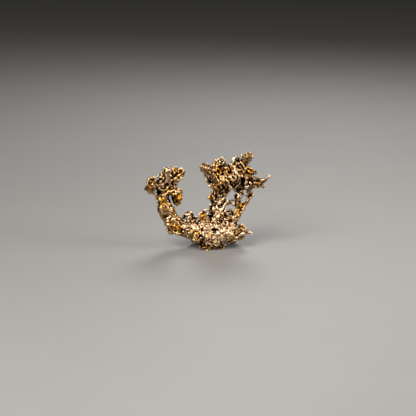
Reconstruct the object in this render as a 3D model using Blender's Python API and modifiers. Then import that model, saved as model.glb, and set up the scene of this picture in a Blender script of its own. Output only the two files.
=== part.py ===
"""A crystallised gold nugget, 40 mm wide: two knobbly arms that rise in a U from one thick root.

The nugget grew as one piece, so it is one object. Its limbs are strings of overlapping lumps, laid out
in millimetres: X is across, Y is back and Z is up. The lumps are fused into one skin, studded with small
knobs, pitted, roughened and cut level where the nugget stands.
"""

import math
import random

import bmesh
import bpy
from mathutils import Matrix, Vector

# Driving dimensions, in millimetres.
WIDTH = 40.0
LUMP_STEP = 0.55  # along a limb, as a share of the radius there
LUMP_SCATTER = 0.24  # sideways, as a share of the radius
LUMP_SIZES = (0.84, 1.06)  # as shares of the radius
LUMP_FLATTEST = 0.72
KNOB_EVERY = 3.2  # square millimetres of skin for each small knob
KNOB_RADII = (0.45, 0.85)
FUSING_VOXEL = 0.34
SKIN_VOXEL = 0.30
TABLE_LEVEL = 0.0  # the height at which the underside is cut flat
TRIANGLES = 8600
SEED = 19

MM = 0.001
GOLD_COLOUR = (0.83, 0.55, 0.20, 1.0)
GOLD_ROUGHNESS = 0.32

# Each limb is a list of stations: (across, back, up, radius).
ROOT = {
    "front": [
        (-10.7, -1.5, 7.1, 2.6),
        (-6.5, -1.5, 6.7, 3.1),
        (-2.6, -1.7, 5.2, 4.1),
        (0.9, -1.9, 5.0, 4.3),
        (4.4, -1.4, 5.4, 4.1),
        (7.7, -0.6, 5.4, 3.0),
        (10.4, 0.3, 5.1, 2.2),
    ],
    "back": [
        (-6.5, 2.0, 5.9, 2.6),
        (-2.0, 2.8, 5.0, 3.7),
        (2.8, 3.4, 4.8, 3.9),
        (7.7, 3.8, 4.4, 3.2),
    ],
    "front_keel": [
        (-3.6, -2.4, 3.7, 2.5),
        (-0.8, -2.9, 2.9, 2.6),
        (2.6, -2.7, 2.9, 2.6),
        (5.4, -1.9, 3.7, 2.4),
    ],
    "back_keel": [
        (-4.2, 2.6, 3.5, 2.5),
        (0.0, 3.6, 3.0, 2.7),
        (4.5, 4.1, 2.9, 2.7),
        (8.2, 4.1, 3.2, 2.4),
    ],
    "belly": [(-2.4, 0.4, 3.9, 2.8), (1.2, 0.7, 3.4, 2.9), (5.6, 1.2, 3.5, 2.8)],
    "tip": [(10.2, 0.5, 5.1, 2.2), (11.2, 0.0, 5.4, 1.4)],
    "thorn": [(11.2, 0.0, 5.1, 0.9), (12.3, -0.3, 4.9, 0.5), (13.2, -0.4, 4.8, 0.35)],
    "heel": [(-8.6, 0.2, 5.8, 2.6), (-11.2, -0.2, 5.9, 2.2)],
    "knob": [(-5.5, 0.0, 8.4, 2.0), (-5.8, 0.0, 10.0, 1.7)],
    "dip": [(-4.4, -0.6, 7.6, 1.7), (-2.6, -1.0, 8.1, 1.8)],
    "shoulder": [(-0.7, -1.0, 9.9, 2.0), (-1.5, -1.2, 10.6, 1.4)],
    "saddle": [(4.6, 0.4, 8.6, 3.0), (7.6, 0.4, 9.0, 2.3), (8.6, 0.4, 9.6, 1.7)],
}
LEFT_ARM = {
    "stem": [
        (-9.8, -1.0, 6.9, 2.8),
        (-10.7, -1.0, 7.9, 2.9),
        (-12.5, -0.8, 11.2, 2.7),
        (-13.7, -0.6, 14.5, 2.3),
        (-14.2, -0.4, 17.0, 2.1),
        (-14.6, 0.0, 19.6, 2.3),
    ],
    "cheek": [
        (-15.6, -0.9, 20.5, 2.0),
        (-17.3, -2.0, 20.9, 2.0),
        (-18.0, -2.4, 19.8, 1.6),
        (-18.1, -2.4, 18.2, 0.65),
    ],
    "cheek_knob": [(-18.4, -2.4, 19.7, 1.1), (-19.5, -2.6, 19.3, 0.65)],
    "nape": [(-14.2, 1.6, 17.6, 1.6), (-14.6, 2.2, 19.4, 1.7), (-12.8, 2.6, 21.4, 1.5)],
    "crown": [
        (-14.2, 0.0, 20.3, 2.2),
        (-13.4, 0.0, 22.2, 2.0),
        (-12.9, -1.0, 24.3, 1.2),
        (-12.4, -1.6, 25.4, 0.8),
    ],
    "curl": [
        (-12.3, 0.8, 22.2, 1.7),
        (-10.8, 1.2, 23.2, 1.4),
        (-9.7, 1.4, 24.6, 1.15),
        (-8.3, 1.2, 24.5, 1.0),
        (-7.5, 0.8, 23.7, 0.75),
    ],
    "strand": [
        (-8.4, 0.2, 23.0, 0.9),
        (-9.4, -0.2, 21.6, 0.85),
        (-9.9, -0.6, 20.1, 0.7),
        (-10.0, -0.6, 18.9, 0.6),
    ],
    "brace": [(-10.7, 0.2, 21.9, 1.1), (-11.9, 0.0, 19.6, 1.05), (-13.1, -0.5, 17.4, 1.3)],
    "ear": [
        (-12.1, -0.8, 17.8, 1.2),
        (-10.7, -1.0, 17.9, 1.15),
        (-9.4, -1.0, 17.6, 1.4),
        (-9.2, -1.0, 16.4, 1.35),
        (-9.3, -1.2, 15.2, 0.9),
        (-9.0, -1.4, 14.1, 0.5),
    ],
}
RIGHT_ARM = {
    "stalk": [
        (2.2, 0.0, 8.0, 3.5),
        (3.6, 0.4, 9.9, 3.3),
        (3.2, 0.8, 12.8, 2.8),
        (3.2, 1.2, 15.3, 2.6),
        (3.4, 1.4, 17.9, 2.8),
    ],
    "stalk_knob": [(1.9, 0.5, 15.7, 1.4), (0.7, 0.3, 15.8, 1.0)],
    "inner_strand": [
        (10.2, 1.0, 17.6, 1.3),
        (9.4, 0.8, 15.8, 0.95),
        (9.0, 0.6, 13.8, 0.9),
        (9.2, 0.4, 11.9, 1.1),
        (8.9, 0.2, 9.6, 1.4),
    ],
    "outer_strand": [
        (13.2, 1.3, 18.2, 1.0),
        (13.5, 1.5, 16.6, 0.75),
        (12.6, 1.4, 14.8, 0.75),
        (11.1, 1.2, 13.0, 1.0),
        (10.3, 0.8, 11.3, 0.9),
        (9.6, 0.5, 9.8, 0.8),
    ],
    "stalk_prong": [(5.0, 0.8, 14.2, 1.2), (6.6, 0.7, 14.3, 0.6), (8.8, 0.6, 14.1, 0.55)],
    "head_left": [
        (-1.1, -0.8, 26.0, 1.55),
        (1.2, 0.2, 23.9, 2.0),
        (2.5, 1.0, 26.2, 1.6),
        (4.6, 1.8, 27.1, 1.3),
    ],
    "head_front": [(2.6, -0.8, 20.2, 1.9), (5.0, -1.4, 22.0, 2.1), (8.6, -0.8, 23.6, 2.0)],
    "head_back": [
        (3.4, 3.4, 17.6, 2.1),
        (5.6, 4.4, 20.6, 2.5),
        (8.6, 4.6, 22.4, 2.4),
        (10.4, 4.2, 24.8, 1.7),
    ],
    "head_core": [
        (3.0, 1.2, 19.6, 2.7),
        (2.9, 1.0, 21.6, 2.7),
        (5.6, 1.5, 23.9, 2.8),
        (6.6, 1.6, 20.0, 2.9),
    ],
    "head_right": [
        (6.4, 1.5, 19.9, 2.8),
        (8.9, 2.0, 22.7, 2.8),
        (11.6, 1.5, 22.7, 2.5),
        (10.4, 1.2, 19.6, 2.1),
    ],
    "head_crest": [
        (8.6, 2.0, 24.2, 2.2),
        (8.9, 1.5, 26.6, 1.6),
        (11.2, 1.5, 27.4, 1.6),
        (12.7, 1.2, 29.0, 1.65),
    ],
    "head_bump": [(11.4, 1.6, 25.2, 1.9), (12.6, 1.5, 23.6, 1.9), (14.3, 1.2, 23.8, 1.2)],
    "head_shoulder": [(11.6, 1.4, 21.0, 2.2), (13.6, 1.2, 20.8, 1.7)],
    "spike": [
        (13.9, 0.8, 20.1, 1.5),
        (16.0, 0.4, 20.8, 1.0),
        (17.6, 0.1, 21.7, 0.7),
        (18.7, 0.0, 22.4, 0.5),
        (19.6, 0.0, 22.9, 0.6),
    ],
    "spike_spur": [(15.4, 0.6, 19.8, 0.75), (17.0, 0.3, 19.4, 0.55)],
}
# The bumps of the underside that touch the table.
FEET = {
    "front": [(-1.4, -3.0, 1.3, 1.8), (0.6, -3.1, 1.2, 1.8)],
    "middle": [(3.8, -2.0, 1.3, 1.8)],
    "left": [(-3.8, 3.0, 1.4, 2.0), (-3.4, 3.4, 1.1, 1.9)],
    "right": [(7.8, 4.2, 1.3, 2.0), (7.2, 4.6, 1.1, 1.9)],
}
# Pits in the skin: (across, back, up, radius).
PITS = [
    (2.1, -5.0, 6.8, 1.5),
    (-15.2, -2.6, 21.6, 0.9),
    (-11.8, -1.6, 24.0, 0.7),
    (10.0, -1.6, 19.0, 1.3),
    (6.0, -1.8, 17.2, 1.2),
    (1.2, -1.9, 21.4, 0.9),
    (-11.0, -3.6, 12.6, 0.7),
    (5.6, 7.6, 8.0, 1.3),
    (-2.4, 6.9, 6.4, 1.1),
    (5.0, 4.9, 21.0, 1.3),
    (10.0, 4.9, 24.6, 1.1),
    (-15.0, 2.9, 20.6, 0.9),
]


def clear_scene():
    """Removes what the scene holds at the start."""
    for obj in list(bpy.data.objects):
        bpy.data.objects.remove(obj, do_unlink=True)


def new_collection(name):
    """A collection in the scene."""
    collection = bpy.data.collections.new(name)
    bpy.context.scene.collection.children.link(collection)
    return collection


def gold_material():
    """Natural gold: a warm metal with a satin sheen."""
    material = bpy.data.materials.new("native_gold")
    material.use_nodes = True
    shader = material.node_tree.nodes["Principled BSDF"]
    shader.inputs["Base Color"].default_value = GOLD_COLOUR
    shader.inputs["Metallic"].default_value = 1.0
    shader.inputs["Roughness"].default_value = GOLD_ROUGHNESS
    return material


def add_lump(mesh, centre, radius, rng):
    """One lump: a ball squashed by its own amount along each axis and turned at random."""
    squash = Vector([rng.uniform(LUMP_FLATTEST, 1.0) for _ in range(3)])
    axis = Vector([rng.gauss(0, 1) for _ in range(3)])
    turn = Matrix.Rotation(rng.uniform(0, math.pi), 4, axis)
    size = Matrix.Diagonal((*(squash * radius * MM), 1.0))
    bmesh.ops.create_icosphere(
        mesh, subdivisions=2, radius=1.0, matrix=Matrix.Translation(centre * MM) @ turn @ size
    )


def along(stations):
    """Centres and radii down a limb, close enough together for the lumps there to overlap."""
    for start, end in zip(stations, stations[1:]):
        reach = math.dist(start[:3], end[:3])
        steps = max(1, round(reach / (LUMP_STEP * min(start[3], end[3]))))
        for step in range(steps):
            mixed = [a + (b - a) * step / steps for a, b in zip(start, end)]
            yield Vector(mixed[:3]), mixed[3]
    yield Vector(stations[-1][:3]), stations[-1][3]


def add_limb(mesh, stations, rng):
    """A string of lumps on the limb's line, and one beside each that stands a little off it."""
    for centre, radius in along(stations):
        aside = Vector([rng.uniform(-1, 1) for _ in range(3)]) * LUMP_SCATTER * radius
        add_lump(mesh, centre, radius * LUMP_SIZES[0], rng)
        add_lump(mesh, centre + aside, radius * rng.uniform(*LUMP_SIZES), rng)


def object_from(mesh, name, collection):
    """A new object that holds a finished bmesh."""
    data = bpy.data.meshes.new(name)
    mesh.to_mesh(data)
    mesh.free()
    obj = bpy.data.objects.new(name, data)
    collection.objects.link(obj)
    return obj


def apply_modifiers(obj):
    """Makes the modified shape the object's own mesh."""
    graph = bpy.context.evaluated_depsgraph_get()
    data = bpy.data.meshes.new_from_object(obj.evaluated_get(graph))
    obj.modifiers.clear()
    obj.data = data


def fuse(obj, voxel):
    """Melts what overlaps into one closed skin."""
    remesh = obj.modifiers.new("Fuse", "REMESH")
    remesh.mode = "VOXEL"
    remesh.voxel_size = voxel * MM
    apply_modifiers(obj)


def stud(obj, rng):
    """Small knobs set in the skin, one for so many square millimetres of it."""
    faces = list(obj.data.polygons)
    area = sum(face.area for face in faces) / MM**2
    mesh = bmesh.new()
    for face in rng.choices(faces, k=round(area / KNOB_EVERY)):
        add_lump(mesh, face.center / MM, rng.uniform(*KNOB_RADII), rng)
    mesh.from_mesh(obj.data)
    mesh.to_mesh(obj.data)
    mesh.free()


def roughen(obj, name, kind, size, depth):
    """Moves the skin in and out by a procedural texture of that grain size."""
    texture = bpy.data.textures.new(name, kind)
    texture.noise_scale = size * MM
    displace = obj.modifiers.new(name, "DISPLACE")
    displace.texture = texture
    displace.strength = depth * MM


def cut_away(obj, cutter):
    """Cuts a helper shape out of the object."""
    cutter.hide_render = True
    cutter.display_type = "WIRE"
    cut = obj.modifiers.new(cutter.name, "BOOLEAN")
    cut.operation = "DIFFERENCE"
    cut.object = cutter
    apply_modifiers(obj)


def level_feet(obj, collection):
    """Cuts the lowest bumps flat, so that the nugget stands on them."""
    side = 2 * WIDTH * MM
    mesh = bmesh.new()
    place = Matrix.Translation((0, 0, TABLE_LEVEL * MM - side / 2))
    bmesh.ops.create_cube(mesh, size=side, matrix=place)
    cut_away(obj, object_from(mesh, "table", collection))


def thin_out(obj, triangles):
    """Fewer triangles, where the skin is smoothest first."""
    decimate = obj.modifiers.new("ThinOut", "DECIMATE")
    obj.data.calc_loop_triangles()
    decimate.ratio = triangles / len(obj.data.loop_triangles)
    decimate.use_collapse_triangulate = True
    apply_modifiers(obj)


def fit_frame(obj):
    """Scales the nugget to its width and sets the origin under the middle of its box."""
    corners = [Vector(corner) for corner in obj.bound_box]
    low = Vector([min(corner[i] for corner in corners) for i in range(3)])
    high = Vector([max(corner[i] for corner in corners) for i in range(3)])
    middle = (low + high) / 2
    scale = WIDTH * MM / (high.x - low.x)
    shift = Matrix.Translation((-middle.x, -middle.y, -low.z))
    obj.data.transform(Matrix.Scale(scale, 4) @ shift)


def main():
    clear_scene()
    collection = new_collection("gold_nugget")
    cutters = new_collection("cutters")
    rng = random.Random(SEED)

    mesh = bmesh.new()
    for limbs in (ROOT, LEFT_ARM, RIGHT_ARM, FEET):
        for stations in limbs.values():
            add_limb(mesh, stations, rng)
    nugget = object_from(mesh, "nugget", collection)
    fuse(nugget, FUSING_VOXEL)
    stud(nugget, rng)
    fuse(nugget, FUSING_VOXEL)

    mesh = bmesh.new()
    for *centre, radius in PITS:
        add_lump(mesh, Vector(centre), radius, rng)
    cut_away(nugget, object_from(mesh, "pits", cutters))

    roughen(nugget, "lumps", "CLOUDS", 1.6, 0.5)
    roughen(nugget, "grains", "VORONOI", 0.8, 0.35)
    fuse(nugget, SKIN_VOXEL)
    thin_out(nugget, TRIANGLES)
    level_feet(nugget, cutters)
    fit_frame(nugget)
    nugget.data.materials.append(gold_material())
    nugget.data.shade_smooth()


main()
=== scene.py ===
import math
import random

import bmesh
import bpy
import numpy as np
from mathutils import Matrix, Vector, noise
from mathutils.bvhtree import BVHTree
from mathutils.kdtree import KDTree


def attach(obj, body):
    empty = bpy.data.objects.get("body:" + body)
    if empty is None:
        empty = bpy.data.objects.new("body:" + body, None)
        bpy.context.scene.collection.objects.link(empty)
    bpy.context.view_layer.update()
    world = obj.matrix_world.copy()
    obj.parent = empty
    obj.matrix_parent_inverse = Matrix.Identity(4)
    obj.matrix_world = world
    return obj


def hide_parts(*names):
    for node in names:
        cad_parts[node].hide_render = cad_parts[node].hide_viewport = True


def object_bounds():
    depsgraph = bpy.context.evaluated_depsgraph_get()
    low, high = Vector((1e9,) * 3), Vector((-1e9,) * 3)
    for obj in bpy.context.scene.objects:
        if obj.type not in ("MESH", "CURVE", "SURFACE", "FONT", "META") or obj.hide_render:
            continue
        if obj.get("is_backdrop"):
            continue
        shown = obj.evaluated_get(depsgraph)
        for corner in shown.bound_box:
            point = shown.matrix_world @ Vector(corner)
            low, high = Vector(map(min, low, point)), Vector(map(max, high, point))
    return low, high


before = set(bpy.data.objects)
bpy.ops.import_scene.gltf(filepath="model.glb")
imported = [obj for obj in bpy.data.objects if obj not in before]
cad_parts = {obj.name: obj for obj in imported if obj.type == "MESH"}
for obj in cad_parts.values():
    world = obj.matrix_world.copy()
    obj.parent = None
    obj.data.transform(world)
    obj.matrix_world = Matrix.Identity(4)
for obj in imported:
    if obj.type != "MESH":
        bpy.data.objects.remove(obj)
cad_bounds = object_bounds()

# ----------------------------------------------------------------------------------------------------------
# The nugget. It is native gold that grew in the rock as one piece: leaves and wires of crystal that ran
# together into lumps, left standing when the quartz round them dissolved. Nothing is fixed to it.
# Until its mesh is finished it is made in millimetres: X is across, Y is back and Z is up.

rng = random.Random(7)

nugget = bpy.data.objects.new("nugget_gold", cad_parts["nugget"].data.copy())
bpy.context.scene.collection.objects.link(nugget)
mesh = bmesh.new()
mesh.from_mesh(nugget.data)
mesh.transform(Matrix.Scale(1000, 4))
bmesh.ops.remove_doubles(mesh, verts=mesh.verts, dist=0.001)
mesh.to_mesh(nugget.data)
mesh.free()


def skin_of(data):
    """A tree of the mesh's faces, to look for the nearest one or the one that a ray meets."""
    mesh = bmesh.new()
    mesh.from_mesh(data)
    skin = BVHTree.FromBMesh(mesh)
    mesh.free()
    return skin


outline = nugget.data.copy()
outer = skin_of(outline)


def part_at(point):
    """The part of the nugget that a point belongs to."""
    if (point.x > 11.0 and point.z > 26.8) or (-3.5 < point.x < 0.3 and point.z > 23.4) or point.x < -16.7:
        return "knob"
    if point.x < -7.5 and point.z > 9.0:
        return "cheek" if point.z > 18.6 or (point.x < -12.8 and point.z > 17.2) else "stem"
    if point.x > -3.5 and point.z > 17.4:
        return "head"
    return "stalk" if point.x > 0.0 and point.z > 9.8 else "root"


# How far a crystal reaches along its run, across it and out of the skin, as shares of its radius.
LATH = (1.1, 1.25, 0.70)
GRAIN = (1.1, 0.85, 1.05)

# How the crystals grew in each part: how far the core lies under them, their least and greatest radius and
# length, the gap between them, how closely they follow the arm, their shape, and how many points of the mesh
# make one of their faces.
GROWTH = {
    "head": {"core": 0.60, "radii": (0.40, 0.78), "lengths": (0.5, 2.2),
             "gap": 0.09, "run": 3.2, "shape": LATH, "patch": 24},
    "stalk": {"core": 0.45, "radii": (0.30, 0.58), "lengths": (0.5, 2.2),
              "gap": 0.09, "run": 2.8, "shape": LATH, "patch": 22},
    "cheek": {"core": 0.24, "radii": (0.28, 0.52), "lengths": (0.3, 1.5),
              "gap": 0.16, "run": 0.8, "shape": LATH, "patch": 18},
    "knob": {"core": 0.10, "radii": (0.20, 0.40), "lengths": (0.3, 1.2),
             "gap": 0.12, "run": 1.2, "shape": LATH, "patch": 16},
    "stem": {"core": 0.10, "radii": (0.20, 0.42), "lengths": (0.5, 1.8),
             "gap": 0.28, "run": 2.2, "shape": LATH, "patch": 30},
    "root": {"core": 0.30, "radii": (0.17, 0.42), "lengths": (0.2, 1.1),
             "gap": 0.03, "run": 0.0, "shape": GRAIN, "patch": 13},
}


def read_mesh(data, what="co"):
    """The points or the normals of a mesh's vertices, as an array."""
    values = np.empty(len(data.vertices) * 3, np.float32)
    data.vertices.foreach_get(what, values)
    return values.reshape(-1, 3).astype(float)


def edges_of(data):
    """The pairs of vertices that a mesh's edges join."""
    edges = np.empty(len(data.edges) * 2, np.int32)
    data.edges.foreach_get("vertices", edges)
    return edges.reshape(-1, 2)


def smoothed(values, edges, rounds):
    """The values after each has moved half way to the mean of its neighbours, that many times."""
    near = np.bincount(edges.ravel(), minlength=len(values))[:, None]
    for _ in range(rounds):
        total = np.zeros_like(values)
        for axis in range(values.shape[1]):
            total[:, axis] += np.bincount(edges[:, 0], values[edges[:, 1], axis], len(values))
            total[:, axis] += np.bincount(edges[:, 1], values[edges[:, 0], axis], len(values))
        values = 0.5 * values + 0.5 * total / near
    return values


def ball_mesh(name, balls, rounds):
    """One mesh of many small balls, each stretched along its own axes. More rounds make them rounder."""
    ball = bmesh.new()
    bmesh.ops.create_icosphere(ball, subdivisions=rounds, radius=1.0)
    shape = np.array([v.co for v in ball.verts])
    faces = np.array([[v.index for v in f.verts] for f in ball.faces])
    ball.free()
    centres = np.array([centre for centre, _, _ in balls])
    radii = np.array([radii for _, radii, _ in balls])
    axes = np.array([[list(axis) for axis in axes] for _, _, axes in balls])
    points = np.einsum("pk,nk,nkj->npj", shape, radii, axes) + centres[:, None]
    corners = faces[None] + len(shape) * np.arange(len(balls))[:, None, None]
    data = bpy.data.meshes.new(name)
    data.vertices.add(points.size // 3)
    data.vertices.foreach_set("co", points.astype(np.float32).ravel())
    data.loops.add(corners.size)
    data.loops.foreach_set("vertex_index", corners.astype(np.int32).ravel())
    data.polygons.add(corners.size // 3)
    data.polygons.foreach_set("loop_start", np.arange(0, corners.size, 3, dtype=np.int32))
    data.update(calc_edges=True)
    return data


def baked(obj):
    """Makes what the modifiers give the object's own mesh."""
    graph = bpy.context.evaluated_depsgraph_get()
    data = bpy.data.meshes.new_from_object(obj.evaluated_get(graph))
    obj.modifiers.clear()
    obj.data = data


def melt_together(obj, voxel, balls=(), rounds=1):
    """Adds balls to the object and runs all that overlaps together into one closed skin."""
    if balls:
        both = bmesh.new()
        both.from_mesh(obj.data)
        both.from_mesh(ball_mesh("balls", balls, rounds))
        both.to_mesh(obj.data)
        both.free()
    remesh = obj.modifiers.new("Melt", "REMESH")
    remesh.mode = "VOXEL"
    remesh.voxel_size = voxel
    baked(obj)


# The core: the whole shape, sunk under the crystals by no more than a share of its thickness.
SUNK_SHARE = 0.13
JUST_INSIDE = 0.02
VERY_THICK = 9.0
SINK_ROUNDS = 4
CORE_VOXEL = 0.22
points, normals = read_mesh(nugget.data), read_mesh(nugget.data, "normal")
sink = []
for point, normal in zip(points, normals):
    point, normal = Vector(point), Vector(normal)
    through = outer.ray_cast(point - normal * JUST_INSIDE, -normal)[3] or VERY_THICK
    sink.append([min(GROWTH[part_at(point)]["core"], SUNK_SHARE * through)])
points -= normals * smoothed(np.array(sink), edges_of(nugget.data), SINK_ROUNDS)
nugget.data.vertices.foreach_set("co", points.astype(np.float32).ravel())
melt_together(nugget, CORE_VOXEL)

# All that is listed is laid out as it looks from a little above the front, so that "up" runs along a
# plane that leans back by this slope.
SLANT = math.tan(math.radians(14))

# Holes and hollows of the front: (across, up), then the half sizes across, up and back.
HOLES = [
    ((-15.3, 21.2), (0.60, 0.65, 1.3)), ((-14.8, 21.8), (0.30, 0.28, 0.8)),
    ((-11.6, 23.7), (0.48, 0.36, 1.2)), ((-9.8, 24.6), (0.28, 0.24, 0.8)),
    ((-11.3, 19.2), (0.55, 0.55, 4.0)), ((-13.7, 21.3), (0.22, 0.20, 0.6)),
    ((-14.0, 18.75), (0.50, 0.15, 0.7)), ((-15.5, 17.5), (1.2, 0.50, 1.3)),
    ((-17.7, 19.6), (0.8, 0.16, 0.5)), ((-12.3, 21.2), (0.30, 0.45, 0.7)),
    ((-11.9, 12.9), (0.30, 0.45, 0.7)), ((-11.8, 12.0), (0.30, 0.20, 0.5)),
    ((3.4, 22.2), (0.33, 0.33, 1.0)), ((3.0, 21.1), (0.40, 0.35, 1.0)), ((1.1, 21.9), (0.25, 0.33, 0.9)),
    ((2.0, 21.7), (0.70, 1.10, 1.7)), ((4.6, 27.7), (0.22, 0.22, 0.6)), ((9.3, 27.8), (0.40, 0.35, 0.7)),
    ((9.8, 25.1), (0.22, 0.20, 0.5)), ((10.6, 23.4), (0.28, 0.35, 0.9)), ((12.1, 24.0), (0.22, 0.28, 0.9)),
    ((7.6, 20.2), (0.30, 0.16, 0.7)), ((5.0, 14.7), (0.22, 0.25, 0.8)), ((4.9, 11.5), (0.20, 0.75, 1.0)),
    ((2.4, 16.1), (0.30, 0.35, 0.9)), ((4.2, 17.2), (0.25, 0.45, 0.9)), ((5.2, 22.8), (0.16, 0.18, 0.6)),
    ((10.8, 20.9), (0.90, 1.10, 2.2)), ((9.8, 18.8), (1.00, 0.55, 2.2)), ((6.6, 17.7), (0.90, 0.60, 2.2)),
    ((11.9, 18.7), (0.70, 0.50, 1.8)), ((3.2, 21.7), (0.50, 0.90, 1.4)), ((4.6, 18.4), (0.35, 0.60, 1.6)),
    ((10.6, 27.8), (0.22, 0.25, 0.6)), ((11.7, 26.3), (0.16, 0.35, 0.7)), ((6.8, 26.2), (0.20, 0.50, 0.8)),
    ((2.2, 5.5), (1.35, 0.52, 1.3)), ((-4.9, 10.1), (0.25, 0.22, 0.8)), ((-1.85, 5.2), (0.14, 0.80, 0.5)),
    ((-9.7, 7.3), (0.75, 0.18, 0.6)), ((-7.3, 5.0), (0.45, 0.33, 0.7)), ((-5.2, 5.8), (0.60, 0.20, 0.6)),
    ((7.1, 4.7), (0.35, 0.85, 1.2)), ((10.2, 4.1), (0.30, 0.45, 0.9)), ((4.3, 1.5), (0.80, 0.22, 0.8)),
    ((6.1, 2.2), (0.70, 0.18, 0.7)), ((7.9, 7.2), (0.20, 0.55, 0.7)), ((-7.2, 7.3), (0.45, 0.22, 0.5)),
]


FAR_IN_FRONT = 50.0


def depth_at(skin, across, up):
    """How far back the skin lies at a spot of the front, or at the skin nearest to a spot beside it."""
    start = Vector((across, -FAR_IN_FRONT, up + FAR_IN_FRONT * SLANT))
    met = skin.ray_cast(start, Vector((0, 1, -SLANT)).normalized())[0]
    return (met or skin.find_nearest(Vector((across, 0, up)))[0]).y


class Taken:
    """What is built already, in cells, so that the next strands keep their gap from it."""

    CELL = 0.9

    def __init__(self):
        self.cells = {}

    def cell(self, point):
        return [math.floor(side / self.CELL) for side in point]

    def add(self, point, radius):
        self.cells.setdefault(tuple(self.cell(point)), []).append((point, radius))

    def is_clear(self, point, reach):
        x, y, z = self.cell(point)
        beside = [(x + i, y + j, z + k) for i in (-1, 0, 1) for j in (-1, 0, 1) for k in (-1, 0, 1)]
        balls = (ball for cell in beside for ball in self.cells.get(cell, ()))
        return all((point - centre).length > reach + radius for centre, radius in balls)


HOLLOW_VOXEL = 0.12


def dig_out(obj, hollows):
    """Takes hollows out of the object."""
    cutter = bpy.data.objects.new("hollows", ball_mesh("hollows", hollows, 2))
    bpy.context.scene.collection.objects.link(cutter)
    melt_together(cutter, HOLLOW_VOXEL)
    cut = obj.modifiers.new("Hollows", "BOOLEAN")
    cut.operation = "DIFFERENCE"
    cut.object = cutter
    baked(obj)
    bpy.data.objects.remove(cutter)


# Each hollow is ragged: smaller ones that overlap round its middle. Crystals keep clear of the middle.
HOLLOW_PARTS = 4
PART_ASIDE = 0.45
PART_SIZES = (0.55, 0.8)
KEPT_CLEAR = 0.6
taken = Taken()
hollows = []
for (across, up), (wide, high, deep) in HOLES:
    depth = depth_at(outer, across, up)
    middle = Vector((across, depth, up - SLANT * depth))
    taken.add(outer.find_nearest(middle)[0], KEPT_CLEAR * min(wide, high))
    for _ in range(HOLLOW_PARTS):
        aside = Vector([rng.uniform(-PART_ASIDE, PART_ASIDE) * half for half in (wide, deep, high)])
        half = [side * rng.uniform(*PART_SIZES) for side in (wide, deep, high)]
        hollows.append((middle + aside, half, Matrix.Identity(3)))
dig_out(nugget, hollows)

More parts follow.
